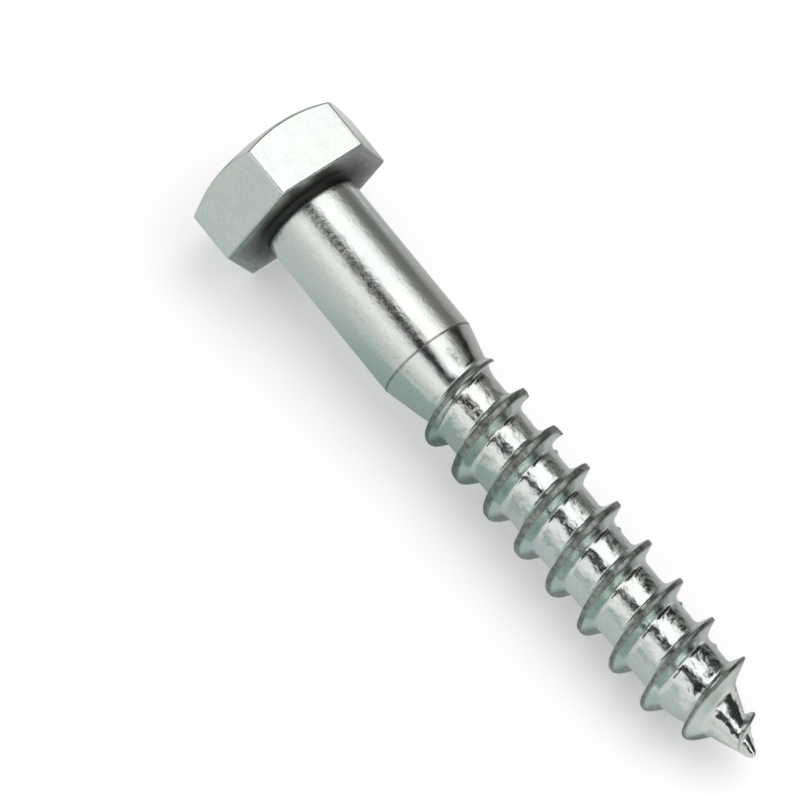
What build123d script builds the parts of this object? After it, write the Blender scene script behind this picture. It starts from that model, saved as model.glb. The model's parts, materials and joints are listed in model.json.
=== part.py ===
from build123d import *
from math import acos, asin, atan2, cos, degrees, hypot, radians, sin, tan
import os

# Hexagon-head coach screw with a coarse right-hand wood thread and a gimlet point, cold formed
# as one piece. The screw's axis is the X axis while it is built: the bearing face of the head
# is at 0 and the point is at +X. It is then tipped to lie as it comes to rest.

# Head
across_flats = 12.8
head_height = 5.05
corner_height = 4.1         # from the bearing face to the start of the top chamfer, at a corner
chamfer_angle = 30.0        # between the turned top chamfer and the top face
edge_round = 0.2            # on the hexagon's corners and on the rim of the bearing face
neck_flare = 0.4            # length and height of the flare that leads from the shank into the head

# Shank
shank_diameter = 7.7
shank_length = 14.2         # from the bearing face to the end of the plain shank
shank_taper = 4.0           # length of the cone that leads from the shank down to the core

# Core and its point
length = 51.3               # from the bearing face to the tip
core_diameter = 5.6
core_point = 6.3            # length of the core's cone
tip_radius = 0.4

# Thread ridge
crest_diameter = 8.0
pitch = 3.55
crest_width_head = 0.64     # the crest narrows evenly from the head end
crest_width_tip = 0.2       # to the point
head_flank = 15.0           # angles between the ridge's two flanks and a plane across the screw
tip_flank = 24.0
point_flank = 31.0          # the tip flank lies back to this angle at the point
ridge_set_in = 1.0          # from the end of the plain shank to the start of the ridge
start_angle = 202.2         # of the ridge's start about the screw, from +Y towards +Z
run_in = 6.5                # length over which the ridge rises to its full height and width
crest_point = 6.0           # length over which the crest closes in on the tip
crest_curve = 0.75          # exponent of that closing line: 1 is straight, less is fuller
ridge_end = 0.6             # from the end of the ridge to the tip
run_out = 1.8               # length over which the ridge sinks back into the point
least_crest = 0.1           # share of its width that the crest starts with
steps_per_turn = 12
root_share = 0.68           # the ridge is rooted inside the core, at this share of its radius

half_flats = across_flats / 2
half_corners = half_flats / cos(radians(30))
shank_radius = shank_diameter / 2
core_radius = core_diameter / 2
crest_radius = crest_diameter / 2
ridge_start = shank_length + ridge_set_in

# The core's cone is tangent to the round nose.
cone_start = length - core_point
nose_centre = length - tip_radius
nose_run = nose_centre - cone_start
cone_angle = acos(tip_radius / hypot(core_radius, nose_run)) - atan2(nose_run, core_radius)


def core_radius_at(x):
    """Radius of the core without the ridge: a cylinder, then the cone of the point."""
    return core_radius - max(x - cone_start, 0) * tan(cone_angle)


def run_in_share(x):
    """Share of the run-in that lies behind x."""
    return min((x - ridge_start) / run_in, 1)


def crest_radius_at(x):
    """Radius of the crest, which rises out of the taper, closes in on the tip and sinks into it."""
    core = core_radius_at(x)
    rising = core + (crest_radius - core) * (1 - (1 - run_in_share(x)) ** 3)
    closing = crest_radius * (max(length - x, 0) / crest_point) ** crest_curve
    sinking = max(min((length - ridge_end - x) / run_out, 1), 0)
    return core + (min(rising, closing) - core) * sinking


def ridge_section(x):
    """Section of the ridge in the half-plane that holds the screw's axis and the crest at x."""
    root = root_share * core_radius_at(x)
    crest = crest_radius_at(x)
    along = (x - ridge_start) / (length - ridge_start)
    full_crest = crest_width_head + (crest_width_tip - crest_width_head) * along
    half_crest = full_crest * max(run_in_share(x), least_crest) / 2
    lying_back = min(max((x - length + crest_point + pitch) / pitch, 0), 1)
    flank = tip_flank + (point_flank - tip_flank) * lying_back
    to_head = half_crest + (crest - root) * tan(radians(head_flank))
    to_tip = half_crest + (crest - root) * tan(radians(flank))
    outline = Polygon(
        (x - to_head, root), (x - half_crest, crest), (x + half_crest, crest), (x + to_tip, root),
        align=None,
    )
    angle = start_angle + 360 * (x - ridge_start) / pitch
    return Plane.XY.rotated((angle, 0, 0)) * outline


def ridge_turns():
    """The helical ridge, lofted turn by turn through sections at even steps."""
    end = length - ridge_end
    turns = max(round((end - ridge_start) / pitch), 1)
    step = (end - ridge_start) / (turns * steps_per_turn)
    for turn in range(turns):
        first = turn * steps_per_turn
        yield loft([ridge_section(ridge_start + (first + i) * step) for i in range(steps_per_turn + 1)])


def turned_body():
    """Shank with its flare under the head, the taper, the core and the point, turned as one."""
    inside_head = -corner_height / 2
    flare_radius = shank_radius + neck_flare
    cone_end = (nose_centre + tip_radius * sin(cone_angle), tip_radius * cos(cone_angle))
    outline = Polyline(
        (length, 0), (inside_head, 0), (inside_head, flare_radius), (0, flare_radius),
        (neck_flare, shank_radius), (shank_length, shank_radius),
        (shank_length + shank_taper, core_radius), (cone_start, core_radius), cone_end,
    )
    nose = TangentArc(cone_end, (length, 0), tangent=(cos(cone_angle), -sin(cone_angle)))
    return revolve(make_face([outline, nose]), Axis.X)


def head():
    """Hexagon with rounded corners, cut to the turned chamfer round its top."""
    across = Plane((0, 0, 0), x_dir=(0, 1, 0), z_dir=(-1, 0, 0))
    prism = extrude(across * RegularPolygon(half_flats, 6, major_radius=False), head_height)
    prism = fillet(prism.edges().filter_by(Axis.X), edge_round)
    prism = fillet(prism.faces().sort_by(Axis.X)[-1].edges(), edge_round)
    chamfer_height = head_height - corner_height
    chamfer_width = chamfer_height / tan(radians(chamfer_angle))
    turned = Polyline(
        (-head_height, 0), (0, 0), (0, half_corners + chamfer_width),
        (chamfer_height - corner_height, half_corners + chamfer_width),
        (-head_height, half_corners - chamfer_width), close=True,
    )
    return prism & revolve(make_face(turned), Axis.X)


def rest_tilt():
    """Angle by which the point drops when the head's lower rim and a crest lie on a flat surface."""
    first_low = ridge_start + pitch * (270 - start_angle) / 360
    last_full = first_low + pitch * ((length - crest_point - first_low) // pitch)
    along = last_full + edge_round
    across = half_flats - edge_round - crest_radius
    return degrees(atan2(across, along) + asin(edge_round / hypot(across, along)))


screw = head() + turned_body() + list(ridge_turns())
screw = screw.rotate(Axis.Y, rest_tilt())
print(f"rest tilt {rest_tilt():.3f} deg, cone half-angle {degrees(cone_angle):.2f} deg")

os.makedirs("parts", exist_ok=True)
export_step(screw, "parts/coach_screw.step")
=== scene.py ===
import json
from math import acos, atan2, ceil, cos, degrees, hypot, pi, radians, remainder, sin, tan

import bmesh
import bpy
from bpy.props import FloatProperty, FloatVectorProperty, IntProperty, PointerProperty
from mathutils import Matrix, Quaternion, Vector, noise

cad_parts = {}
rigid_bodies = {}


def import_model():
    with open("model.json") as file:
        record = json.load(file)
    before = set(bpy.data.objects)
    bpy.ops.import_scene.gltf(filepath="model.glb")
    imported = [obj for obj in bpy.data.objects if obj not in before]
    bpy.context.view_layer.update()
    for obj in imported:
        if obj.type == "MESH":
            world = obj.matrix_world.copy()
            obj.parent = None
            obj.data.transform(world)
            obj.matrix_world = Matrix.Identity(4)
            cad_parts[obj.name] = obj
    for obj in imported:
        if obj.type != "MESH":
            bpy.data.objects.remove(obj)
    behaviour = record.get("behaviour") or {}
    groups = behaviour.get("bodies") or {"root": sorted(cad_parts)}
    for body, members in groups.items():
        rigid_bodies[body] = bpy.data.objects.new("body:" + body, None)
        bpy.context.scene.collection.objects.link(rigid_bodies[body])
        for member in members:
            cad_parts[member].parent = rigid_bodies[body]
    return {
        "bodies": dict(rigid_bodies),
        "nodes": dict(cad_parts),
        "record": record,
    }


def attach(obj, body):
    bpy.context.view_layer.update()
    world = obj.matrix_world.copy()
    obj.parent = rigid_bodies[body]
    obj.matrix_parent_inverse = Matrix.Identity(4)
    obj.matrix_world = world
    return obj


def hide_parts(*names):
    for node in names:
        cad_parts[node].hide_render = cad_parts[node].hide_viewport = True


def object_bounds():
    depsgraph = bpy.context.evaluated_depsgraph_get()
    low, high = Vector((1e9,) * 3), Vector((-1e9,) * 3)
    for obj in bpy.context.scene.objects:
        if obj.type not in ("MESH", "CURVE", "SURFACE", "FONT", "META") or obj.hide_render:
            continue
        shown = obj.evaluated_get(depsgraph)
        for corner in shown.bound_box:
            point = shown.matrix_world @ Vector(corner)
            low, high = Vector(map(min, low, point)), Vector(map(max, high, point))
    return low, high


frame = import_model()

bl_info = {
    "name": "Coach Screw",
    "version": (1, 0, 0),
    "blender": (4, 5, 0),
    "location": "View3D > Sidebar > Coach Screw",
    "description": "Builds a zinc-plated coach screw with a hexagon head, a plain shank and a wood thread",
    "category": "Add Mesh",
}

MM = 0.001
FULL_TURN = 2 * pi
QUARTER_TURN = pi / 2
CORNER_ANGLE = radians(30)      # between the middle of a hexagon's flat and its corner

# Only the frame's own objects stay in the scene.
FRAME_OBJECTS = [*frame["nodes"].values(), *frame["bodies"].values()]
for startup_object in [thing for thing in bpy.data.objects if thing not in FRAME_OBJECTS]:
    bpy.data.objects.remove(startup_object)

# What the frame says: the screw's box in metres, how it lies, and its two diameters in mm.
CAD_LOW, CAD_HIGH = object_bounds()
MOUNTS = {mount["name"]: mount for mount in frame["record"]["mounts"]}
SCREW_AXIS = Vector(MOUNTS["shank"]["axis"])
REST_TILT = atan2(-SCREW_AXIS.z, SCREW_AXIS.x)
SHANK_DIAMETER = 2 * MOUNTS["shank"]["dims"]["r_mm"]
CREST_DIAMETER = 2 * MOUNTS["wood_thread"]["dims"]["r_mm"]
EDGE_ROUND = 0.2                # of the head's edges
TIP_RADIUS = 0.4                # of the blunt tip
LENGTH = (CAD_HIGH[0] / MM - TIP_RADIUS) / cos(REST_TILT) + TIP_RADIUS
CORNER_LOSS = EDGE_ROUND * (1 / cos(CORNER_ANGLE) - 1)
HAIRLINE = 0.004                # keeps the dressed screw just inside the frame's box
ACROSS_FLATS = ((CAD_HIGH[1] - CAD_LOW[1]) / MM + 2 * CORNER_LOSS) * cos(CORNER_ANGLE) - HAIRLINE


# ---------------------------------------------------------------- properties

def length_of(name, millimetres, description):
    """A length, written in millimetres and kept in metres."""
    return FloatProperty(
        name=name, description=description, default=millimetres * MM, unit="LENGTH", precision=5
    )


def angle_of(name, turned, description):
    """An angle, written in degrees and kept in radians."""
    return FloatProperty(name=name, description=description, default=radians(turned), subtype="ANGLE")


def share_of(name, share, description):
    """A share of something, from none to all of it."""
    return FloatProperty(
        name=name, description=description, default=share, min=0, max=1, subtype="FACTOR"
    )


def number_of(name, number, description):
    """A number without a unit."""
    return FloatProperty(name=name, description=description, default=number)


def count_of(name, count, description):
    """A whole number of things."""
    return IntProperty(name=name, description=description, default=count, min=1)


def colour_of(name, colour, description):
    """A colour as red, green and blue."""
    return FloatVectorProperty(
        name=name, description=description, default=colour, size=3, min=0, max=1, subtype="COLOR"
    )


class CoachScrewSizes(bpy.types.PropertyGroup):
    """Sizes of the screw, along its own axis from the bearing face under the head."""

    rest_tilt: angle_of("Rest tilt", degrees(REST_TILT), "How far the point dips as the screw lies")
    length: length_of("Length", LENGTH, "From the bearing face to the tip of the point")

    across_flats: length_of("Across flats", ACROSS_FLATS, "Width of the hexagon between two flats")
    head_height: length_of("Head height", 5.05, "From the bearing face to the top of the head")
    corner_height: length_of("Corner height", 4.1, "From the bearing face to the chamfer at a corner")
    chamfer_angle: angle_of("Chamfer", 30, "Slope of the chamfer against the top of the head")
    edge_round: length_of("Edge rounding", EDGE_ROUND, "Radius of the head's rounded edges")
    crown: length_of("Crown", 0.1, "How far the middle of the top stands above its rim")
    neck_flare: length_of("Neck fillet", 0.4, "Radius of the fillet between head and shank")

    shank_diameter: length_of("Shank diameter", SHANK_DIAMETER, "Diameter of the plain shank")
    shank_length: length_of("Shank length", 14.2, "Length of the plain shank")
    shank_taper: length_of("Taper", 4.0, "Length over which the shank narrows to the core")
    core_diameter: length_of("Core diameter", 5.6, "Diameter at the root of the thread")
    core_point: length_of("Point length", 6.3, "Length over which the core narrows to the tip")
    tip_radius: length_of("Tip radius", TIP_RADIUS, "Radius of the blunt tip")

    crest_diameter: length_of("Crest diameter", CREST_DIAMETER, "Outer diameter of the thread")
    pitch: length_of("Pitch", 3.55, "Distance between two turns of the thread")
    crest_width_head: length_of("First crest width", 0.64, "Width of the crest where it starts")
    crest_width_tip: length_of("Last crest width", 0.2, "Width of the crest where it ends")
    head_flank: angle_of("Head-side flank", 15, "Slope of the flank that faces the head")
    tip_flank: angle_of("Tip-side flank", 24, "Slope of the flank that faces the tip")
    point_flank: angle_of("Point flank", 31, "Slope of the tip-side flank on the point")
    ridge_set_in: length_of("Thread start", 1.0, "From the end of the shank to the start of the ridge")
    start_angle: angle_of("Start angle", 202.2, "Where round the screw the ridge starts")
    run_in: length_of("Run-in", 6.5, "Length over which the ridge rises to its full height")
    crest_point: length_of("Crest point", 6.0, "Length over which the crest closes on the tip")
    crest_curve: number_of("Crest curve", 0.75, "How full the closing curve of the crest is")
    ridge_end: length_of("Ridge end", 0.6, "From the end of the ridge to the tip")
    run_out: length_of("Run-out", 1.8, "Length over which the ridge sinks into the tip")
    least_crest: share_of("Least crest", 0.1, "Share of the crest's width left at the run-in")
    steps_per_turn: count_of("Steps per turn", 144, "Sides of the thread in one turn")


class CoachScrewFinish(bpy.types.PropertyGroup):
    """Colours and texture of the bright zinc plating."""

    plate: colour_of("Plate", (0.76, 0.79, 0.76), "Bright zinc")
    plate_warm: colour_of("Warm tinge", (0.77, 0.76, 0.66), "Faint straw tinge of the passivated zinc")
    plate_cool: colour_of("Cool tinge", (0.62, 0.71, 0.71), "Blue-green tinge of the passivated zinc")
    flank: colour_of("Flank", (0.66, 0.77, 0.74), "Greener zinc on the flanks of the thread")
    # Dark zinc of the worn crests, also used as painted shade on downward flanks, round the shank's end and
    # under the head.
    wear_and_shade: colour_of("Dull zinc", (0.21, 0.22, 0.20), "Dull zinc on the crests and under the head")
    grain: share_of("Grain", 0.5, "Strength of the fine grain in the plating")


class CoachScrewStage(bpy.types.PropertyGroup):
    """Floor, lamp, plain light and camera."""

    floor_colour: colour_of("Floor", (0.9, 0.9, 0.9), "Pale floor")
    floor_lift: number_of("Floor lift", 0.28, "Light that the floor adds for the camera and in reflections")
    world_level: number_of("World level", 0.60, "Plain light from all round")
    key_level: number_of("Key level", 1.15, "Radiance of the large soft lamp overhead")
    camera_azimuth: angle_of("Camera azimuth", -56.63, "Where round the screw the camera stands")
    camera_elevation: angle_of("Camera elevation", 60.38, "How high above the floor the camera stands")
    camera_roll: angle_of("Camera roll", 19.68, "How far the camera is turned about its view")
    camera_distance: length_of("Camera distance", 356, "From the camera to the point it looks at")
    lens: number_of("Lens", 225, "Focal length in millimetres")


# ---------------------------------------------------------- shape of the screw

def progress(value, start, end):
    """How far a value has come on its way from start to end, from 0 to 1."""
    return min(max((value - start) / (end - start), 0), 1)


def eased_ramp(distance, softness):
    """Zero before the corner and the distance after it, with a parabola across the corner."""
    if distance <= -softness:
        return 0.0
    if distance >= softness:
        return distance
    return (distance + softness) ** 2 / (4 * softness)


def carried(value, old_knots, new_knots):
    """Carries a value from between two old knots to the same share between the new ones."""
    for index in range(len(old_knots) - 1):
        low, high = old_knots[index], old_knots[index + 1]
        if value <= high or index == len(old_knots) - 2:
            share = (value - low) / (high - low)
            return new_knots[index] + (new_knots[index + 1] - new_knots[index]) * share


class ScrewShape:
    """The screw's outlines as functions of the distance x from the bearing face, in metres."""

    SHANK_EDGE_SOFTNESS = 0.04 * MM
    CORE_SOFTNESS = 0.5 * MM
    CONE_SOFTNESS = 0.5 * MM
    EDGE_STEP = 0.018 * MM      # small step down where the shank ends
    EDGE_STEP_RUN = 1 * MM      # how far down the taper the step dies away
    FIRST_TURN_LEAN = 0.7 * MM  # how far the first, thin turn leans towards the tip
    LAST_CREST_LOSS = 0.3       # share of its width that the crest loses by the point

    def __init__(self, sizes):
        self.sizes = sizes
        self.shank_radius = sizes.shank_diameter / 2
        self.core_radius = sizes.core_diameter / 2
        self.crest_radius = sizes.crest_diameter / 2
        self.least_radius = sizes.tip_radius / 4
        self.half_flats = sizes.across_flats / 2
        self.half_corners = self.half_flats / cos(CORNER_ANGLE)
        self.ridge_start = sizes.shank_length + sizes.ridge_set_in
        self.ridge_end = sizes.length - sizes.ridge_end
        self.taper_end = sizes.shank_length + sizes.shank_taper
        self.taper_slope = (self.shank_radius - self.core_radius) / sizes.shank_taper
        self.cone_start = sizes.length - sizes.core_point
        self.nose_centre = sizes.length - sizes.tip_radius
        nose_run = self.nose_centre - self.cone_start
        reach = hypot(self.core_radius, nose_run)
        self.cone_angle = acos(sizes.tip_radius / reach) - atan2(nose_run, self.core_radius)
        self.nose_start = self.nose_centre + sizes.tip_radius * sin(self.cone_angle)

    def body_radius(self, x):
        """Shank, taper, core and point, with their corners eased."""
        taper = eased_ramp(x - self.sizes.shank_length, self.SHANK_EDGE_SOFTNESS)
        core = eased_ramp(x - self.taper_end, self.CORE_SOFTNESS)
        cone = eased_ramp(x - self.cone_start, self.CONE_SOFTNESS)
        step = min(taper, self.EDGE_STEP) * (1 - progress(taper, 0, self.EDGE_STEP_RUN))
        radius = self.shank_radius - self.taper_slope * (taper - core) - tan(self.cone_angle) * cone
        return max(radius - step, self.least_radius)

    def run_in_share(self, x):
        """How far the ridge has grown out of the taper."""
        return progress(x, self.ridge_start, self.ridge_start + self.sizes.run_in)

    def crest_radius_at(self, x):
        """The crest rises out of the core, keeps its diameter, then closes on the tip."""
        sizes = self.sizes
        core = self.core_radius - max(x - self.cone_start, 0) * tan(self.cone_angle)
        rising = core + (self.crest_radius - core) * (1 - (1 - self.run_in_share(x)) ** 3)
        closing = self.crest_radius * (max(sizes.length - x, 0) / sizes.crest_point) ** sizes.crest_curve
        sinking = progress(x, self.ridge_end, self.ridge_end - sizes.run_out)
        return core + (min(rising, closing) - core) * sinking

    def ridge_knots(self, x):
        """Where one turn's root, flanks and crest start and end, from the middle of its crest."""
        sizes = self.sizes
        half_pitch = sizes.pitch / 2
        along = progress(x, self.ridge_start, sizes.length)
        point_start = sizes.length - sizes.crest_point
        lying_back = progress(x, point_start - sizes.pitch, point_start)
        full_crest = sizes.crest_width_head + (sizes.crest_width_tip - sizes.crest_width_head) * along
        full_crest *= 1 - self.LAST_CREST_LOSS * lying_back
        half_crest = full_crest * max(self.run_in_share(x), sizes.least_crest) / 2
        flank = sizes.tip_flank + (sizes.point_flank - sizes.tip_flank) * lying_back
        height = max(self.crest_radius_at(x) - self.body_radius(x), 0)
        to_head = half_crest + height * tan(sizes.head_flank)
        to_tip = half_crest + height * tan(flank)
        return -half_pitch, -to_head, -half_crest, half_crest, to_tip, half_pitch

    def crest_middle(self, x, angle):
        """The place along the screw of the crest nearest to x, at this angle round the screw."""
        pitch = self.sizes.pitch
        first = self.ridge_start + pitch * (angle - self.sizes.start_angle) / FULL_TURN
        return first + pitch * round((x - first) / pitch)

    @property
    def rim_height(self):
        """Height of the circle in which the chamfer meets the top of the head."""
        return self.sizes.head_height - self.sizes.crown

    @property
    def rim_radius(self):
        """Radius of that circle."""
        rise = self.rim_height - self.sizes.corner_height
        return self.half_corners - rise / tan(self.sizes.chamfer_angle)

    def chamfer_at(self, radius):
        """Height of the chamfer above the bearing face at this distance from the axis."""
        sizes = self.sizes
        height = sizes.corner_height + (self.half_corners - radius) * tan(sizes.chamfer_angle)
        return min(height, self.rim_height)


# ------------------------------------------------- unevenness of a rolled thread

# Burrs, in mm: where along the screw, where round it (degrees from +Y towards +Z), how wide, how
# high, and how far they lean towards the tip.
BURRS = (
    (24.15, 25, 0.75, 0.04, 0.50),
    (20.60, 22, 0.70, -0.12, 0.32),
    (25.45, 27, 0.28, 0.16, 0.05),
    (32.70, 30, 0.30, 0.14, 0.00),
    (39.60, 26, 0.24, 0.18, 0.04),
    (43.45, 28, 0.34, 0.14, 0.00),
    (46.90, 40, 0.30, 0.10, 0.00),
    (49.60, 30, 0.22, 0.10, 0.05),
    (50.30, 10, 0.20, 0.08, 0.00),
)
# Waves of the lands, wear of the crests and wobble of the ridge: swells per mm, then their size.
WAVES = ((0.8, 0.022 * MM), (1.9, 0.009 * MM))
WAVE_RUN = 3 * MM               # past the shank, the length over which the waves set in
WEAR = (1.1, 0.03 * MM)
WOBBLE = (0.9, 0.06 * MM)
# These keep the wear and the wobble from following the waves.
WEAR_SHIFT = Vector((9, 0, 0))
WOBBLE_SHIFT = Vector((0, 7, 0))


def burr_at(x, angle, radius):
    """How far the burrs lift this place of the surface, and how far they push it along, in metres."""
    lift, push = 0.0, 0.0
    for middle, turned, width, rise, lean in BURRS:
        off = x / MM - middle
        if abs(off) < width:
            across = remainder(angle - radians(turned), FULL_TURN) * radius / MM
            swell = max(1 - (off ** 2 + across ** 2) / width ** 2, 0) ** 2
            lift += rise * MM * swell
            push += lean * MM * swell
    return lift, push


def unevenness_at(place):
    """The waves, the wear and the wobble at a place in mm, in metres."""
    waves = sum(noise.noise(place * fineness) * height for fineness, height in WAVES)
    fineness, depth = WEAR
    wear = (noise.noise(place * fineness + WEAR_SHIFT) - 1) * depth
    fineness, swing = WOBBLE
    wobble = noise.noise(place * fineness + WOBBLE_SHIFT) * swing
    return waves, wear, wobble


# ---------------------------------------------------------------- mesh making

IN_PLANE = 0.001 * MM           # how near a vertex lies to a plane that it is taken to be in


def polyline(bm, points):
    """Vertices at points in the XY plane, joined in order by edges."""
    verts = [bm.verts.new((x, y, 0)) for x, y in points]
    for start, end in zip(verts, verts[1:]):
        bm.edges.new((start, end))
    return verts


def rounded(bm, verts, offset, segments):
    """Rounds the corners of a flat outline."""
    bmesh.ops.bevel(
        bm, geom=verts, offset=offset, offset_type="OFFSET", affect="VERTICES",
        segments=segments, profile=0.5, material=-1,
    )


def turned(bm, angle, axis):
    """Turns the whole of a bmesh about one of the world's axes."""
    bmesh.ops.rotate(bm, verts=bm.verts, cent=(0, 0, 0), matrix=Matrix.Rotation(angle, 3, axis))


def subdivided(bm, longest):
    """Splits every edge that is longer than the given length into equal parts."""
    cuts_of = {}
    for edge in bm.edges:
        cuts_of.setdefault(ceil(edge.calc_length() / longest) - 1, []).append(edge)
    for cuts, edges in cuts_of.items():
        if cuts > 0:
            bmesh.ops.subdivide_edges(bm, edges=edges, cuts=cuts)


def open_rim(bm, x):
    """The open edges that lie in the plane at x."""
    return [
        edge for edge in bm.edges
        if edge.is_boundary and all(abs(vert.co.x - x) < IN_PLANE for vert in edge.verts)
    ]


def outward(vert):
    """The direction from the screw's axis to a vertex."""
    return Vector((0, vert.co.y, vert.co.z)).normalized()


def next_ring(bm, rim, place):
    """Extrudes a rim and moves each new vertex to where place puts it."""
    made = bmesh.ops.extrude_edge_only(bm, edges=rim)["geom"]
    for vert in made:
        if isinstance(vert, bmesh.types.BMVert):
            vert.co = place(vert)
    return [edge for edge in made if isinstance(edge, bmesh.types.BMEdge)]


def on_circle(x, radius):
    """A place that puts a vertex on a circle about the screw's axis, at its own angle."""
    return lambda vert: Vector((x, 0, 0)) + outward(vert) * radius


def closed_at(bm, rim, x):
    """Closes a rim with a last ring whose vertices meet on the axis."""
    tip = next_ring(bm, rim, lambda vert: Vector((x, 0, 0)))
    verts = list({vert for edge in tip for vert in edge.verts})
    bmesh.ops.pointmerge(bm, verts=verts, merge_co=(x, 0, 0))


# How the thread's section is rounded and divided, and how it is swept and trimmed.
ROOT_ROUND = 0.28 * MM
CREST_ROUND = 0.09 * MM
SECTION_STEP = 0.16 * MM
TURNS_BEFORE = 2                # turns swept ahead of the ridge, which the trim takes off again
SAME_PLACE = 0.005 * MM
SLIVER = 0.002 * MM
RIM_SLIVER = 0.05 * MM
CUT_TOLERANCE = 1e-8
THREAD_SET_IN = 0.15 * MM       # from the end of the shank to where the swept thread takes over
# Marks that the plating reads: wear on the crests together with painted shade on downward flanks, round the
# shank's end and under the head, and "flank" on the thread's flanks.
FULL_STANDING = 0.5 * MM        # height above which the ridge has its full marks
LEAST_MARKED = 0.03             # share of the ridge's height below which the metal is a land
CREST_ZONE = (0.8, 0.95)        # shares of the ridge's height between which its crest grows dull
ROOT_ZONE = 0.25                # share of its height over which the tip-side flank sets in
UNDERSIDE_ZONE = (0.12, 0.42)   # how far a flank looks down before it takes painted shade, as a sine
UNDERSIDE_SHADE = 0.9
HEAD_SIDE_FLANK = 0.4


def spin_thread(bm, shape):
    """Sweeps one pitch of the thread's section along the screw."""
    sizes = shape.sizes
    nominal = shape.ridge_knots(shape.ridge_start + sizes.run_in)
    root, crest = shape.core_radius, shape.crest_radius
    heights = (root, root, crest, crest, root, root)
    first = shape.ridge_start - TURNS_BEFORE * sizes.pitch
    bm.verts.layers.float.new("wear_and_shade")
    bm.verts.layers.float.new("flank")
    verts = polyline(bm, [(first + along, height) for along, height in zip(nominal, heights)])
    rounded(bm, [verts[1], verts[4]], ROOT_ROUND, 3)
    crests = [vert for vert in bm.verts if vert.co.y > (root + crest) / 2]
    rounded(bm, crests, CREST_ROUND, 2)
    subdivided(bm, SECTION_STEP)
    turned(bm, sizes.start_angle, "X")
    bmesh.ops.spin(
        bm, geom=bm.verts[:] + bm.edges[:], cent=(0, 0, 0), axis=(1, 0, 0),
        dvec=(sizes.pitch / sizes.steps_per_turn, 0, 0), angle=FULL_TURN,
        steps=sizes.steps_per_turn, use_merge=False,
    )
    one_turn = bm.verts[:] + bm.edges[:] + bm.faces[:]
    turns = TURNS_BEFORE + ceil((sizes.length - shape.ridge_start) / sizes.pitch) + 1
    for turn in range(1, turns):
        copy = bmesh.ops.duplicate(bm, geom=one_turn)["geom"]
        verts = [part for part in copy if isinstance(part, bmesh.types.BMVert)]
        bmesh.ops.translate(bm, verts=verts, vec=(turn * sizes.pitch, 0, 0))
    bmesh.ops.remove_doubles(bm, verts=bm.verts, dist=SAME_PLACE)
    return nominal


def thread_marks(share, angle, faces_tip):
    """How worn the crest is, with painted shade where a tip-side flank faces down, and how much of a flank,
    at this share of the ridge's height.
    """
    near_crest = progress(share, *CREST_ZONE)
    if not faces_tip:
        return near_crest, HEAD_SIDE_FLANK
    # Painted shade: tip-side flanks that face down, away from the light, are darkened.
    underside = UNDERSIDE_SHADE * progress(-sin(angle), *UNDERSIDE_ZONE)
    return max(near_crest, underside), progress(share, 0, ROOT_ZONE) * (1 - near_crest)


def shape_thread(bm, shape, nominal):
    """Gives every turn its own height, crest and flanks, and the unevenness of a rolled thread."""
    shank_end = shape.sizes.shank_length
    wear_and_shade, flank = bm.verts.layers.float["wear_and_shade"], bm.verts.layers.float["flank"]
    for vert in bm.verts:
        angle = atan2(vert.co.z, vert.co.y)
        share = progress(hypot(vert.co.y, vert.co.z), shape.core_radius, shape.crest_radius)
        middle = shape.crest_middle(vert.co.x, angle)
        along = vert.co.x - middle
        x = middle + carried(along, nominal, shape.ridge_knots(middle))
        standing = progress(shape.crest_radius_at(middle) - shape.body_radius(x), 0, FULL_STANDING)
        x += share * standing * shape.FIRST_TURN_LEAN * (1 - shape.run_in_share(middle)) ** 2

        body = shape.body_radius(x)
        height = max(shape.crest_radius_at(middle) - body, 0)
        waves, wear, wobble = unevenness_at(Vector((x, body * cos(angle), body * sin(angle))) / MM)
        waves *= (1 - share) * progress(x, shank_end, shank_end + WAVE_RUN)
        radius = body + share * height + waves + wear * share * standing
        lift, push = burr_at(x, angle, radius)
        radius += lift
        x += wobble * share * standing + push * share

        if share > LEAST_MARKED:
            wear_and_shade_share, flank_share = thread_marks(share, angle, along > 0)
            vert[wear_and_shade] = wear_and_shade_share * standing
            vert[flank] = flank_share * standing
        vert.co = (x, radius * cos(angle), radius * sin(angle))


def cut_thread(bm, start, end):
    """Trims the swept thread square at both ends and closes up the slivers this leaves."""
    bmesh.ops.dissolve_degenerate(bm, edges=bm.edges, dist=SLIVER)
    for x, side in ((start, "clear_inner"), (end, "clear_outer")):
        geom = bm.verts[:] + bm.edges[:] + bm.faces[:]
        bmesh.ops.bisect_plane(
            bm, geom=geom, dist=CUT_TOLERANCE, plane_co=(x, 0, 0), plane_no=(1, 0, 0), **{side: True}
        )
    bmesh.ops.dissolve_degenerate(bm, edges=open_rim(bm, start), dist=RIM_SLIVER)


# Rings of the nose, the shank and the fillet under the head.
NOSE_RINGS = 5
EDGE_RINGS = (1, 1 / 3, -1 / 3, -1, -3)     # about the shank's end, in shares of its softness
SHANK_BAYS = 14
NECK_RINGS = (1.4, 1.1, 1.0)                # before the fillet, in shares of its radius
FILLET_STEPS = 5
EDGE_LINE = 1.2                 # reach of the painted shade line round the shank's end, in such shares
EDGE_LINE_SHADE = 0.8


def add_nose(bm, shape, rim):
    """Rounds the tip off from the end of the cone."""
    radius = shape.sizes.tip_radius
    for ring in range(1, NOSE_RINGS):
        turn = shape.cone_angle + (QUARTER_TURN - shape.cone_angle) * ring / NOSE_RINGS
        x = shape.nose_centre + radius * sin(turn)
        rim = next_ring(bm, rim, on_circle(x, radius * cos(turn)))
    closed_at(bm, rim, shape.sizes.length)


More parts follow.
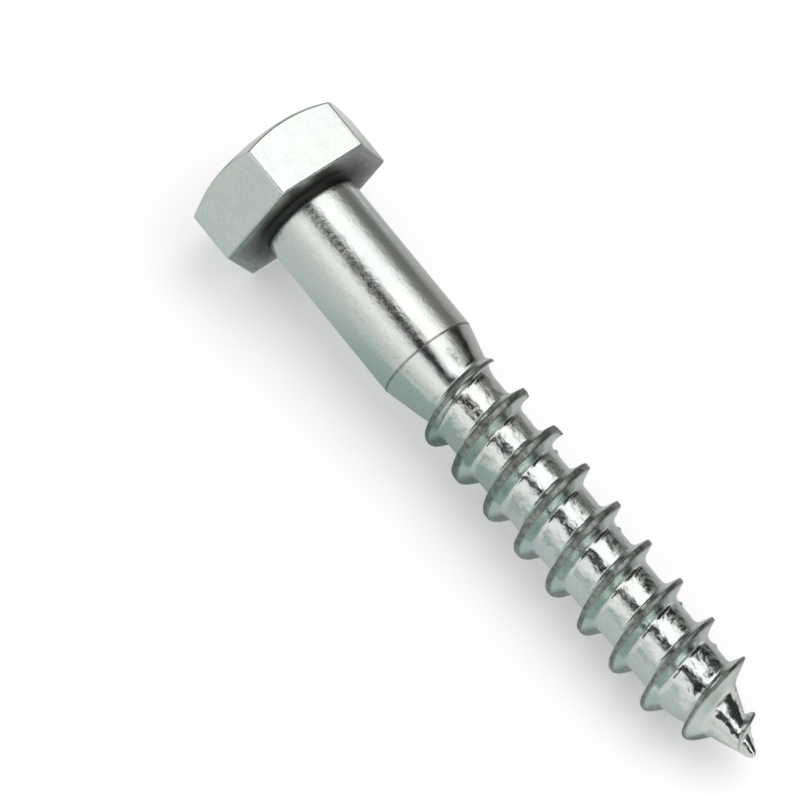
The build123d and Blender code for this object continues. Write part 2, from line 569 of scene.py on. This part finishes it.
def add_shank(bm, shape, rim):
    """Runs the shank from its taper up to the head, through the fillet."""
    soft = shape.SHANK_EDGE_SOFTNESS
    edge = shape.sizes.shank_length
    fillet = shape.sizes.neck_flare
    bay = (edge - 2 * fillet) / SHANK_BAYS
    places = [edge + soft * share for share in EDGE_RINGS]
    places += [edge - bay * index for index in range(1, SHANK_BAYS + 1)]
    places += [fillet * share for share in NECK_RINGS]
    for x in places:
        rim = next_ring(bm, rim, on_circle(x, shape.body_radius(x)))
    # Painted shade: a dark line round the shank's end, where the shank meets its taper.
    wear_and_shade = bm.verts.layers.float["wear_and_shade"]
    for vert in bm.verts:
        if abs(vert.co.x - edge) < EDGE_LINE * soft:
            vert[wear_and_shade] = EDGE_LINE_SHADE
    for step in range(1, FILLET_STEPS + 1):
        turn = QUARTER_TURN * step / FILLET_STEPS
        x = fillet * (1 - sin(turn))
        rim = next_ring(bm, rim, on_circle(x, shape.shank_radius + fillet * (1 - cos(turn))))


# How the head is divided and eased. The shares below are of the radius of its rounded edges.
CORNER_SEGMENTS = 4
FLAT_CUTS = 23
EDGE_STEPS = 4
FLAT_END = 1.6                  # where the plain flat ends, above the bearing face
FACE_RING = 2.0                 # first ring of the bearing face, in from its outline
CHAMFER_START = 1.4             # where the plain flat ends, below the chamfer
CHAMFER_EASE = 0.6              # how far the eased edge reaches on either side of the corner
CHAMFER_RING = 1.2              # first plain ring of the chamfer, in from its outline
# The other rings of the head.
FACE_SHARE = 0.2                # ring of the bearing face, as a share of its width from the neck
BEARING_GAP = 0.04 * MM         # from the last ring to the fillet, where head and shank are bridged
CHAMFER_SHARES = (0.35, 0.7)    # rings of the chamfer, as shares of its width
RIM_EASE = 0.25 * MM
CROWN_RINGS = 7


def head_ring(bm, rim, height_at, radius_at):
    """The next ring of the head, from the height and radius for how far its outline reaches."""
    reach = bm.verts.layers.float["reach"]

    def place(vert):
        x = -height_at(vert[reach])
        return Vector((x, 0, 0)) + outward(vert) * radius_at(vert[reach])

    return next_ring(bm, rim, place)


def head_outline(bm, shape):
    """The hexagon with its rounded corners, half-way up the flats."""
    sizes = shape.sizes
    corner_cut = sizes.edge_round * tan(CORNER_ANGLE)
    reach = bm.verts.layers.float.new("reach")
    bmesh.ops.create_circle(
        bm, cap_ends=False, radius=shape.half_corners, segments=6,
        matrix=Matrix.Rotation(QUARTER_TURN, 4, "Y"),
    )
    rounded(bm, bm.verts[:], corner_cut, CORNER_SEGMENTS)
    flats = [edge for edge in bm.edges if edge.calc_length() > 10 * corner_cut]
    bmesh.ops.subdivide_edges(bm, edges=flats, cuts=FLAT_CUTS)
    for vert in bm.verts:
        vert[reach] = hypot(vert.co.y, vert.co.z)
    bmesh.ops.translate(bm, verts=bm.verts, vec=(-sizes.head_height / 2, 0, 0))
    return bm.edges[:]


def add_bearing_face(bm, shape, rim):
    """From half-way up the flats over their rounded edge, and in to the shank."""
    ease = shape.sizes.edge_round
    bearing = shape.shank_radius + shape.sizes.neck_flare
    rim = head_ring(bm, rim, lambda reach: ease * FLAT_END, lambda reach: reach)
    for step in range(EDGE_STEPS + 1):
        turn = QUARTER_TURN * step / EDGE_STEPS
        height = ease * (1 - sin(turn))
        inset = ease * (1 - cos(turn))
        rim = head_ring(bm, rim, lambda reach: height, lambda reach: reach - inset)
    for radius_at in (
        lambda reach: reach - FACE_RING * ease,
        lambda reach: bearing + (reach - bearing) * FACE_SHARE,
        lambda reach: bearing + BEARING_GAP,
    ):
        rim = head_ring(bm, rim, lambda reach: 0, radius_at)


def add_chamfer(bm, shape, rim):
    """From half-way up the flats over their eased edge, and up the chamfer towards its rim."""
    ease = shape.sizes.edge_round
    slope = shape.sizes.chamfer_angle
    flat_end = CHAMFER_START * ease
    rim = head_ring(bm, rim, lambda reach: shape.chamfer_at(reach) - flat_end, lambda reach: reach)
    for step in range(EDGE_STEPS + 1):
        share = step / EDGE_STEPS
        back = CHAMFER_EASE * ease * (1 - share) ** 2
        along = CHAMFER_EASE * ease * share ** 2
        rim = head_ring(
            bm, rim,
            lambda reach: shape.chamfer_at(reach) - back + along * tan(slope) * cos(slope),
            lambda reach: reach - along * cos(slope),
        )
    inset = CHAMFER_RING * ease
    rim = head_ring(bm, rim, lambda reach: shape.chamfer_at(reach - inset), lambda reach: reach - inset)
    for share in CHAMFER_SHARES:
        rim = head_ring(
            bm, rim,
            lambda reach: shape.chamfer_at(reach + (shape.rim_radius - reach) * share),
            lambda reach: reach + (shape.rim_radius - reach) * share,
        )
    return rim


def add_crown(bm, shape, rim):
    """Over the eased rim of the chamfer, and across the gently domed top of the head."""
    sizes = shape.sizes
    for step in range(EDGE_STEPS + 1):
        share = step / EDGE_STEPS
        back = RIM_EASE * (1 - share) ** 2
        inward = RIM_EASE * share ** 2
        x = back * tan(sizes.chamfer_angle) - shape.rim_height
        rim = next_ring(bm, rim, on_circle(x, shape.rim_radius + back - inward))
    start = shape.rim_radius - RIM_EASE
    for step in range(1, CROWN_RINGS):
        radius = start * (1 - step / CROWN_RINGS)
        x = -shape.rim_height - sizes.crown * (1 - (radius / start) ** 2)
        rim = next_ring(bm, rim, on_circle(x, radius))
    closed_at(bm, rim, -sizes.head_height)


def add_head(bm, shape):
    """Builds the hexagon head from its outline, ring by ring, open where the shank joins it."""
    outline = head_outline(bm, shape)
    add_bearing_face(bm, shape, outline)
    add_crown(bm, shape, add_chamfer(bm, shape, outline))


# Painted shade under the head: the bearing face is darkened, most beside the neck and in its fillet.
FACE_SHADE = 0.85
FACE_FLANK = 0.8
DARK_WIDTH = 2.2 * MM           # from the neck to where the face has no more than its even painted shade
DARK_NECK = 1.5                 # how far down the shank this reaches, in fillet radii
FACE_DEPTH = 0.02 * MM


def paint_shade_under_head(bm, shape):
    """Paints shade on the bearing face and the fillet, and gives them the flank's tinge."""
    wear_and_shade, flank = bm.verts.layers.float["wear_and_shade"], bm.verts.layers.float["flank"]
    neck_end = DARK_NECK * shape.sizes.neck_flare
    for vert in bm.verts:
        if -FACE_DEPTH < vert.co.x < neck_end:
            from_neck = hypot(vert.co.y, vert.co.z) - shape.shank_radius
            vert[wear_and_shade] = FACE_SHADE + max(1 - from_neck / DARK_WIDTH, 0)
            vert[flank] = FACE_FLANK


def add_head_to(bm, shape):
    """Makes the head apart and adds it to the shank's mesh."""
    apart = bmesh.new()
    add_head(apart, shape)
    head = bpy.data.meshes.new("head")
    apart.to_mesh(head)
    apart.free()
    bm.from_mesh(head)
    bpy.data.meshes.remove(head)


SHARP_ANGLE = radians(50)       # edges that turn further than this stay sharp


def screw_mesh(sizes):
    """The whole screw as one closed mesh, laid down as it rests."""
    shape = ScrewShape(sizes)
    bm = bmesh.new()
    nominal = spin_thread(bm, shape)
    shape_thread(bm, shape, nominal)
    thread_start = sizes.shank_length + THREAD_SET_IN
    cut_thread(bm, thread_start, shape.nose_start)
    add_nose(bm, shape, open_rim(bm, shape.nose_start))
    add_shank(bm, shape, open_rim(bm, thread_start))
    add_head_to(bm, shape)
    bmesh.ops.bridge_loops(bm, edges=open_rim(bm, 0))
    paint_shade_under_head(bm, shape)
    bmesh.ops.recalc_face_normals(bm, faces=bm.faces)
    turned(bm, sizes.rest_tilt, "Y")
    mesh = bpy.data.meshes.new("coach_screw_plated")
    bm.to_mesh(mesh)
    bm.free()
    mesh.shade_smooth()
    mesh.set_sharp_from_angle(angle=SHARP_ANGLE)
    return mesh


# ------------------------------------------------------------------ materials

class Nodes:
    """A short way to lay out a material's nodes."""

    def __init__(self, tree):
        self.tree = tree
        tree.nodes.clear()

    def add(self, kind, inputs=None, **settings):
        """A node whose inputs are values or other nodes' outputs."""
        node = self.tree.nodes.new(kind)
        for name, value in settings.items():
            setattr(node, name, value)
        for name, value in (inputs or {}).items():
            if isinstance(value, bpy.types.NodeSocket):
                self.tree.links.new(value, node.inputs[name])
            else:
                node.inputs[name].default_value = value
        return node

    def math(self, operation, first, second, third=0.0):
        """Sums with two or three values."""
        inputs = {0: first, 1: second, 2: third}
        return self.add("ShaderNodeMath", inputs, operation=operation).outputs[0]

    def mix(self, share, first, second):
        """The first colour passing over to the second."""
        node = self.add("ShaderNodeMix", data_type="RGBA")
        for name, value in (("Factor_Float", share), ("A_Color", first), ("B_Color", second)):
            socket = next(s for s in node.inputs if s.identifier == name)
            if isinstance(value, bpy.types.NodeSocket):
                self.tree.links.new(value, socket)
            else:
                socket.default_value = value
        return next(s for s in node.outputs if s.identifier == "Result_Color")

    def times(self, colour, factor):
        """A colour multiplied by a level or by another colour."""
        inputs = {0: colour, 1: factor}
        return self.add("ShaderNodeVectorMath", inputs, operation="MULTIPLY").outputs["Vector"]

    def noise(self, vector, scale, detail, roughness):
        """Cloudy mottling, from 0 to 1."""
        inputs = {"Vector": vector, "Scale": scale, "Detail": detail, "Roughness": roughness}
        return self.add("ShaderNodeTexNoise", inputs).outputs["Fac"]

    def between(self, value, low, high, to_low=0.0, to_high=1.0):
        """Passes softly from to_low to to_high while the value goes from low to high."""
        inputs = {"Value": value, "From Min": low, "From Max": high, "To Min": to_low, "To Max": to_high}
        return self.add("ShaderNodeMapRange", inputs, interpolation_type="SMOOTHSTEP").outputs["Result"]


def opaque(colour):
    """The colour with full cover."""
    return (*colour, 1.0)


def new_material(name):
    """A material, and the short way to its nodes."""
    material = bpy.data.materials.new(name)
    material.use_nodes = True
    return material, Nodes(material.node_tree)


# Spans of the screw, in mm, over which the plating changes.
UNDER_HEAD = (0.1, 0.6)         # from the bearing face
CALM_FROM = (-0.6, -0.1)        # from the end of the shank, because the taper is calmer
DENTS_SET_IN = (2.5, 6.0)       # from the end of the shank
CALM_TO = (-1.5, 0.0)           # from the end of the taper
THREAD_SETS_IN = (-0.5, 1.0)    # from the end of the taper
LAST_TURN = (-5.7, -5.0)        # from the tip
# How the plating takes its marks.
DRAWN_OUT = (0.12, 1, 1)        # the drawn lines are as much longer along the screw
CALM_SHARE = 0.25               # share of the relief that the taper keeps
FIRST_DENTS = 0.1               # share of the dents that the shank has
FLANK_LOSS = 0.85               # share of the dents and spots that a flank loses
FLANK_TINGE = 0.85
DULL_ROUGHNESS = 0.2            # added where the metal is dull
MATT_ROUGHNESS = 0.28           # added on the flank of the last turn


class PlatePattern:
    """What the colour, the roughness and the relief of the plating are made from."""

    def __init__(self, nodes, sizes):
        self.nodes = nodes
        self.shank_end = sizes.shank_length / MM
        self.taper_end = (sizes.shank_length + sizes.shank_taper) / MM
        self.tip = sizes.length / MM
        place = nodes.add("ShaderNodeTexCoord").outputs["Object"]
        in_mm = nodes.add(
            "ShaderNodeMapping",
            {"Vector": place, "Rotation": (0, -sizes.rest_tilt, 0), "Scale": (1 / MM,) * 3},
        ).outputs["Vector"]
        drawn = nodes.add("ShaderNodeMapping", {"Vector": in_mm, "Scale": DRAWN_OUT})
        self.along = nodes.add("ShaderNodeSeparateXYZ", {"Vector": in_mm}).outputs["X"]
        self.wear_and_shade = nodes.add("ShaderNodeAttribute", attribute_name="wear_and_shade").outputs["Fac"]
        self.flank = nodes.add("ShaderNodeAttribute", attribute_name="flank").outputs["Fac"]
        self.patches = nodes.noise(in_mm, scale=0.16, detail=3, roughness=0.55)
        self.clouds = nodes.noise(in_mm, scale=0.9, detail=5, roughness=0.6)
        self.dents = nodes.noise(in_mm, scale=1.1, detail=1.5, roughness=0.5)
        self.spots = nodes.noise(in_mm, scale=2.6, detail=3, roughness=0.55)
        self.grain = nodes.noise(in_mm, scale=5.5, detail=3, roughness=0.7)
        self.lines = nodes.noise(drawn.outputs["Vector"], scale=3.2, detail=5, roughness=0.6)

    def over(self, start, span, to_low=0.0, to_high=1.0):
        """Passes softly from to_low to to_high over a span of the screw, counted from start."""
        return self.nodes.between(self.along, start + span[0], start + span[1], to_low, to_high)


def plate_colour(nodes, pattern, finish):
    """Zinc with a soft tinge, greener on the flanks, dark where the crests are worn, and with painted shade
    on downward flanks, round the shank's end and under the head.
    """
    tinge = nodes.mix(
        nodes.between(pattern.patches, 0.42, 0.62),
        opaque(finish.plate_cool),
        opaque(finish.plate_warm),
    )
    tinged = nodes.between(pattern.clouds, 0.3, 0.75, 0.0, 0.4)
    colour = nodes.mix(tinged, opaque(finish.plate), tinge)
    green = nodes.math("MULTIPLY", pattern.flank, FLANK_TINGE)
    colour = nodes.mix(green, colour, opaque(finish.flank))
    # Worn crests and painted shade both take the dark zinc colour.
    worn_and_shaded = nodes.math("MULTIPLY", pattern.wear_and_shade, nodes.between(pattern.spots, 0.38, 0.62, 0.75, 1.0))
    colour = nodes.mix(worn_and_shaded, colour, opaque(finish.wear_and_shade))
    # Painted shade: the face under the head and its fillet are darkened further.
    painted_shade_level = nodes.between(pattern.wear_and_shade, 0.9, 1.85, 1.0, 0.25)
    grained = nodes.between(pattern.grain, 0.25, 0.75, 0.9, 1.0)
    return nodes.times(colour, nodes.math("MULTIPLY", painted_shade_level, grained))


def plate_roughness(nodes, pattern):
    """Nearly a mirror, softer where it is dull, and matt on the flank of the last turn."""
    clouded = nodes.between(pattern.clouds, 0.3, 0.7, 0.09, 0.17)
    grained = nodes.between(pattern.grain, 0.3, 0.7, 0.0, 0.06)
    roughness = nodes.math("ADD", clouded, grained)
    roughness = nodes.math("MULTIPLY_ADD", pattern.wear_and_shade, DULL_ROUGHNESS, roughness)
    last_turn = pattern.over(pattern.tip, LAST_TURN)
    matt = nodes.math("MULTIPLY", last_turn, nodes.between(pattern.flank, 0.5, 0.9))
    return nodes.math("MULTIPLY_ADD", matt, MATT_ROUGHNESS, roughness)


def plate_relief(nodes, pattern, finish):
    """Drawn lines, shallow dents, spots and grain, which are all weaker on the taper."""
    below_head = pattern.over(0, UNDER_HEAD)
    on_thread = pattern.over(pattern.taper_end, THREAD_SETS_IN)
    past_taper = pattern.over(pattern.taper_end, CALM_TO, CALM_SHARE, 1.0)
    on_shank = pattern.over(pattern.shank_end, CALM_FROM, 1.0, 0.0)
    off_taper = nodes.math("MAXIMUM", past_taper, on_shank)
    open_metal = nodes.math("MULTIPLY_ADD", pattern.flank, -FLANK_LOSS, 1.0)
    dented = pattern.over(pattern.shank_end, DENTS_SET_IN, FIRST_DENTS, 1.0)
    spotted = nodes.math("MULTIPLY_ADD", on_thread, 0.12, 0.28)
    spotted = nodes.math("MULTIPLY", spotted, off_taper)
    # Each kind of mark: its pattern, its strength, and its depth in mm.
    marks = (
        (pattern.lines, nodes.math("MULTIPLY", below_head, 0.3), 0.03),
        (pattern.clouds, nodes.math("MULTIPLY", off_taper, 0.4), 0.06),
        (pattern.dents, nodes.math("MULTIPLY", dented, open_metal), 0.10),
        (pattern.spots, nodes.math("MULTIPLY", spotted, open_metal), 0.055),
        (pattern.grain, nodes.math("MULTIPLY", off_taper, finish.grain), 0.006),
    )
    relief = None
    for height, strength, depth in marks:
        inputs = {"Height": height, "Strength": strength, "Distance": depth * MM}
        if relief:
            inputs["Normal"] = relief
        relief = nodes.add("ShaderNodeBump", inputs).outputs["Normal"]
    return relief


def zinc_plate(sizes, finish):
    """Bright zinc: mirror-like, faintly grained, drawn along the screw and tinged in soft patches."""
    material, nodes = new_material("bright_zinc_plate")
    pattern = PlatePattern(nodes, sizes)
    shader = nodes.add(
        "ShaderNodeBsdfPrincipled",
        {
            "Base Color": plate_colour(nodes, pattern, finish), "Metallic": 1.0,
            "Roughness": plate_roughness(nodes, pattern),
            "Normal": plate_relief(nodes, pattern, finish),
        },
    )
    nodes.add("ShaderNodeOutputMaterial", {"Surface": shader.outputs["BSDF"]})
    return material


# ---------------------------------------------------------------------- stage

WHITE = (1.0, 1.0, 1.0)
TEAL = (0.90, 1.0, 1.0)
PALE_TEAL = (0.95, 1.0, 0.98)
OLIVE = (1.0, 1.0, 0.92)
PANEL_TINT = (1.0, 1.0, 0.97)

FLOOR_HALF = 6                  # half the floor's side, in metres
FLOOR_MOTTLE = 40               # swells of its mottling per metre
FLOOR_DARKER = 0.985            # level of the darker mottling

# The light tent that stands about the screw: angle (degrees from straight up, towards the far
# side), level and tint. The angles below -90 are the sheet that lies on the floor.
TENT_BRIGHTEST = 1.5
TENT_GLOW = (
    (-180, 0.38, TEAL),
    (-150, 0.56, TEAL),
    (-128, 0.62, TEAL),
    (-102, 0.65, TEAL),
    (-88, 0.68, PALE_TEAL),
    (-66, 0.88, WHITE),
    (-50, 1.08, WHITE),
    (-38, 0.95, WHITE),
    (-30, 0.28, WHITE),
    (-25, 0.02, WHITE),
    (-14, 0.02, WHITE),
    (-7, 0.70, WHITE),
    (0, 1.40, WHITE),
    (26, 1.40, WHITE),
    (40, 0.95, WHITE),
    (53, 0.34, OLIVE),
    (62, 0.21, OLIVE),
    (80, 0.18, OLIVE),
    (92, 0.38, WHITE),
    (100, 0.46, WHITE),
    (120, 0.55, WHITE),
    (180, 0.55, WHITE),
)
TENT_TOP = (-91, 92)            # the angles between which the tent stands clear of the floor
TENT_RADIUS = 0.25
TENT_HALF_LENGTH = 1.2
PANEL_STEPS = 48
# Low on the near side the glow is shaded, between two angles and from and to where along the
# screw: it sets in from the first place to the second, and clears from the third to the fourth.
LOW_DOWN = (radians(-85), radians(-60))
SHADE = (0.62, 0.69, 0.68)
TUBE_SHADED = (-0.035, -0.020, 0.060, 0.080)
SHEET_SHADED = (0.000, 0.013, 0.022, 0.028)
# Panels just inside the tent: name, level, from and to angle, from and to where along the screw,
# and how far in from these ends they fade.
FLAG_RADIUS = TENT_RADIUS * 0.98
FLAGS = (
    ("head_flag", 0.10, -80, 60, -0.900, -0.150, 0.014),
    ("neck_panel", 0.80, -28, -8, -0.150, -0.056, 0.004),
    ("taper_flag", 0.010, 37, 80, -0.002, 0.068, 0.014),
    ("point_flag", 0.03, 20, 91, 0.085, 0.300, 0.014),
    ("end_flag", 0.02, -52, -3, 0.143, 0.300, 0.014),
)
# Pale sheets on the floor: name, level, and from and to where along and across the screw.
SHEET_FADE = 0.003
SHEET_LIFT = 0.05 * MM
SHEETS = (
    ("head_sheet", 0.70, -0.060, -0.004, 0.001, 0.060),
    ("end_sheet", 0.80, 0.0485, 0.600, -0.250, 0.250),
)

KEY_LAMP_PLACE = (0.02, 0.12, 0.4)
KEY_LAMP_SIZE = (0.5, 0.4)
CAMERA_TARGET = Vector((15.9, -4.23, 0)) * MM
SENSOR_WIDTH = 36
CLIP = (0.01, 20)


def seen_directly(nodes):
    """One for camera, glossy and transmission rays, zero for the light that falls on things."""
    path = nodes.add("ShaderNodeLightPath").outputs
    seen = nodes.math("MAXIMUM", path["Is Camera Ray"], path["Is Glossy Ray"])
    return nodes.math("MAXIMUM", seen, path["Is Transmission Ray"])


def pale_floor(stage):
    """A matt pale floor with a faint mottling, lifted towards white where it is seen."""
    material, nodes = new_material("pale_floor")
    place = nodes.add("ShaderNodeTexCoord").outputs["Object"]
    mottle = nodes.noise(place, scale=FLOOR_MOTTLE, detail=3, roughness=0.5)
    darker = tuple(channel * FLOOR_DARKER for channel in stage.floor_colour)
    colour = nodes.mix(mottle, opaque(stage.floor_colour), opaque(darker))
    lift = nodes.math("MULTIPLY", seen_directly(nodes), stage.floor_lift)
    shader = nodes.add(
        "ShaderNodeBsdfPrincipled",
        {
            "Base Color": colour, "Roughness": 0.9, "Specular IOR Level": 0.0,
            "Emission Color": opaque(WHITE), "Emission Strength": lift,
        },
    )
    nodes.add("ShaderNodeOutputMaterial", {"Surface": shader.outputs["BSDF"]})
    return material


def tent_ramp(nodes, angle):
    """The tent's colour and level at an angle, as a share of its brightest level."""
    first, last = TENT_GLOW[0][0], TENT_GLOW[-1][0]
    inputs = {"Value": angle, "From Min": radians(first), "From Max": radians(last)}
    share = nodes.add("ShaderNodeMapRange", inputs).outputs["Result"]
    ramp = nodes.add("ShaderNodeValToRGB", {"Fac": share})
    stops = ramp.color_ramp.elements
    while len(stops) < len(TENT_GLOW):
        stops.new(0.5)
    for stop, (turn, level, tint) in zip(stops, TENT_GLOW):
        stop.position = (turn - first) / (last - first)
        stop.color = opaque([level * channel / TENT_BRIGHTEST for channel in tint])
    return ramp.outputs["Color"]


def tent_finish(name, shaded):
    """The glow of the light tent, which changes with the angle round the screw."""
    material, nodes = new_material(name)
    place = nodes.add("ShaderNodeTexCoord").outputs["Object"]
    axes = nodes.add("ShaderNodeSeparateXYZ", {"Vector": place}).outputs
    angle = nodes.math("ARCTAN2", axes["Y"], axes["Z"])
    sets_in, full, clears, clear = shaded
    shade = nodes.between(angle, *LOW_DOWN, 1.0, 0.0)
    shade = nodes.math("MULTIPLY", shade, nodes.between(axes["X"], sets_in, full))
    shade = nodes.math("MULTIPLY", shade, nodes.between(axes["X"], clears, clear, 1.0, 0.0))
    colour = nodes.times(tent_ramp(nodes, angle), nodes.mix(shade, opaque(WHITE), opaque(SHADE)))
    glow = nodes.add("ShaderNodeEmission", {"Color": colour, "Strength": TENT_BRIGHTEST})
    nodes.add("ShaderNodeOutputMaterial", {"Surface": glow.outputs["Emission"]})
    return material


def plain_glow(name, level, low_x, high_x, fade):
    """The even grey of a panel, which fades away towards both ends."""
    material, nodes = new_material(name)
    place = nodes.add("ShaderNodeTexCoord").outputs["Object"]
    along = nodes.add("ShaderNodeSeparateXYZ", {"Vector": place}).outputs["X"]
    begun = nodes.between(along, low_x, low_x + fade)
    not_ended = nodes.between(along, high_x - fade, high_x, 1.0, 0.0)
    shown = nodes.math("MULTIPLY", begun, not_ended)
    clear = nodes.add("ShaderNodeBsdfTransparent").outputs["BSDF"]
    glow = nodes.add("ShaderNodeEmission", {"Color": opaque(PANEL_TINT), "Strength": level})
    blend = nodes.add("ShaderNodeMixShader", {0: shown, 1: clear, 2: glow.outputs["Emission"]})
    nodes.add("ShaderNodeOutputMaterial", {"Surface": blend.outputs["Shader"]})
    return material


def linked(name, data):
    """A new object in the scene."""
    thing = bpy.data.objects.new(name, data)
    bpy.context.scene.collection.objects.link(thing)
    return thing


def meshed(name, bm, material):
    """A new object in the scene from a bmesh, which is freed."""
    mesh = bpy.data.meshes.new(name)
    bm.to_mesh(mesh)
    bm.free()
    mesh.materials.append(material)
    return linked(name, mesh)


def add_floor(stage):
    """The floor that the screw lies on."""
    bm = bmesh.new()
    bmesh.ops.create_grid(bm, x_segments=8, y_segments=8, size=FLOOR_HALF)
    bmesh.ops.translate(bm, verts=bm.verts, vec=(0, 0, CAD_LOW[2]))
    meshed("floor", bm, pale_floor(stage))


def add_reflector(name, bm, material):
    """Adds a panel that is seen in the metal and nowhere else."""
    panel = meshed(name, bm, material)
    panel.visible_camera = False
    panel.visible_diffuse = False
    panel.visible_shadow = False


def curved_panel(start, end, radius, low_x, high_x):
    """Part of a tube about the screw's axis, between two angles from straight up."""
    bm = bmesh.new()
    bm.edges.new([bm.verts.new((x, 0, radius)) for x in (low_x, high_x)])
    turned(bm, -radians(start), "X")
    bmesh.ops.spin(
        bm, geom=bm.verts[:] + bm.edges[:], cent=(0, 0, 0), axis=(1, 0, 0),
        angle=-radians(end - start), steps=PANEL_STEPS, use_merge=False,
    )
    return bm


def flat_panel(low_x, high_x, low_y, high_y, lift):
    """A level sheet, lifted off the floor."""
    bm = bmesh.new()
    middle = ((low_x + high_x) / 2, (low_y + high_y) / 2, CAD_LOW[2] + lift)
    bmesh.ops.create_grid(bm, x_segments=1, y_segments=1, size=0.5)
    bmesh.ops.scale(bm, verts=bm.verts, vec=(high_x - low_x, high_y - low_y, 1))
    bmesh.ops.translate(bm, verts=bm.verts, vec=middle)
    return bm


def add_tent():
    """A tube of light about the screw, a sheet along the floor on either side, and the panels."""
    ends = (-TENT_HALF_LENGTH, TENT_HALF_LENGTH)
    tube = curved_panel(*TENT_TOP, TENT_RADIUS, *ends)
    add_reflector("light_tent", tube, tent_finish("light_tent", TUBE_SHADED))
    floor_light = tent_finish("floor_light", SHEET_SHADED)
    add_reflector("near_sheet", flat_panel(*ends, -TENT_RADIUS, 0, SHEET_LIFT), floor_light)
    add_reflector("far_sheet", flat_panel(*ends, 0, TENT_RADIUS, SHEET_LIFT), floor_light)
    for name, level, start, end, low_x, high_x, fade in FLAGS:
        flag = curved_panel(start, end, FLAG_RADIUS, low_x, high_x)
        add_reflector(name, flag, plain_glow(name, level, low_x, high_x, fade))
    for name, level, low_x, high_x, low_y, high_y in SHEETS:
        sheet = flat_panel(low_x, high_x, low_y, high_y, 2 * SHEET_LIFT)
        add_reflector(name, sheet, plain_glow(name, level, low_x, high_x, SHEET_FADE))


def add_key_lamp(stage):
    """A large soft lamp that looks at the screw and lights the floor."""
    lamp = bpy.data.lights.new("key_lamp", "AREA")
    lamp.shape = "RECTANGLE"
    width, depth = KEY_LAMP_SIZE
    lamp.size = width
    lamp.size_y = depth
    lamp.energy = stage.key_level * width * depth * pi
    thing = linked("key_lamp", lamp)
    thing.location = KEY_LAMP_PLACE
    thing.rotation_euler = Vector(KEY_LAMP_PLACE).to_track_quat("Z", "Y").to_euler()
    thing.visible_glossy = False
    thing.visible_camera = False


def add_world(stage):
    """Plain light from all round, and white where the world is seen."""
    world = bpy.data.worlds.new("plain_studio")
    bpy.context.scene.world = world
    world.use_nodes = True
    nodes = Nodes(world.node_tree)
    level = nodes.between(seen_directly(nodes), 0, 1, stage.world_level, 1.0)
    glow = nodes.add("ShaderNodeBackground", {"Color": opaque(WHITE), "Strength": level})
    nodes.add("ShaderNodeOutputWorld", {"Surface": glow.outputs["Background"]})


def add_camera(stage):
    """The camera looks down on the screw from beyond its point."""
    azimuth, elevation = stage.camera_azimuth, stage.camera_elevation
    back = Vector((cos(elevation) * cos(azimuth), cos(elevation) * sin(azimuth), sin(elevation)))
    camera = bpy.data.cameras.new("camera")
    camera.sensor_width = SENSOR_WIDTH
    camera.lens = stage.lens
    camera.clip_start, camera.clip_end = CLIP
    thing = linked("camera", camera)
    thing.location = CAMERA_TARGET + back * stage.camera_distance
    upright = back.to_track_quat("Z", "Y")
    thing.rotation_euler = (upright @ Quaternion((0, 0, 1), stage.camera_roll)).to_euler()
    bpy.context.scene.camera = thing


# ------------------------------------------------------------------ operators

class COACHSCREW_OT_add_screw(bpy.types.Operator):
    """Adds the plated coach screw, lying as it rests"""

    bl_idname = "mesh.coach_screw_add"
    bl_label = "Add Coach Screw"

    def execute(self, context):
        sizes = context.scene.coach_screw_sizes
        mesh = screw_mesh(sizes)
        mesh.materials.append(zinc_plate(sizes, context.scene.coach_screw_finish))
        screw = linked("coach_screw_plated", mesh)
        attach(screw, "root")
        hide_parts("coach_screw")
        return {"FINISHED"}


class COACHSCREW_OT_add_stage(bpy.types.Operator):
    """Adds the floor, the light tent, the lamp and the camera"""

    bl_idname = "scene.coach_screw_stage"
    bl_label = "Add Stage"

    def execute(self, context):
        stage = context.scene.coach_screw_stage
        add_floor(stage)
        add_tent()
        add_key_lamp(stage)
        add_world(stage)
        add_camera(stage)
        context.scene.view_settings.view_transform = "Standard"
        return {"FINISHED"}


class COACHSCREW_PT_panel(bpy.types.Panel):
    """Lists what the add-on can build"""

    bl_label = "Coach Screw"
    bl_space_type = "VIEW_3D"
    bl_region_type = "UI"
    bl_category = "Coach Screw"

    def draw(self, context):
        column = self.layout.column()
        column.operator(COACHSCREW_OT_add_screw.bl_idname)
        column.operator(COACHSCREW_OT_add_stage.bl_idname)
        for group in (
            context.scene.coach_screw_sizes,
            context.scene.coach_screw_finish,
            context.scene.coach_screw_stage,
        ):
            box = self.layout.box()
            for name in group.bl_rna.properties.keys():
                if name not in ("rna_type", "name"):
                    box.prop(group, name)


CLASSES = (
    CoachScrewSizes,
    CoachScrewFinish,
    CoachScrewStage,
    COACHSCREW_OT_add_screw,
    COACHSCREW_OT_add_stage,
    COACHSCREW_PT_panel,
)


def register():
    """Makes the classes and their settings known."""
    for cls in CLASSES:
        bpy.utils.register_class(cls)
    bpy.types.Scene.coach_screw_sizes = PointerProperty(type=CoachScrewSizes)
    bpy.types.Scene.coach_screw_finish = PointerProperty(type=CoachScrewFinish)
    bpy.types.Scene.coach_screw_stage = PointerProperty(type=CoachScrewStage)


def unregister():
    """Takes the settings and the classes away again."""
    del bpy.types.Scene.coach_screw_stage
    del bpy.types.Scene.coach_screw_finish
    del bpy.types.Scene.coach_screw_sizes
    for cls in reversed(CLASSES):
        bpy.utils.unregister_class(cls)


def main():
    """Builds the screw and its stage."""
    register()
    bpy.ops.mesh.coach_screw_add()
    bpy.ops.scene.coach_screw_stage()


if __name__ == "__main__":
    main()
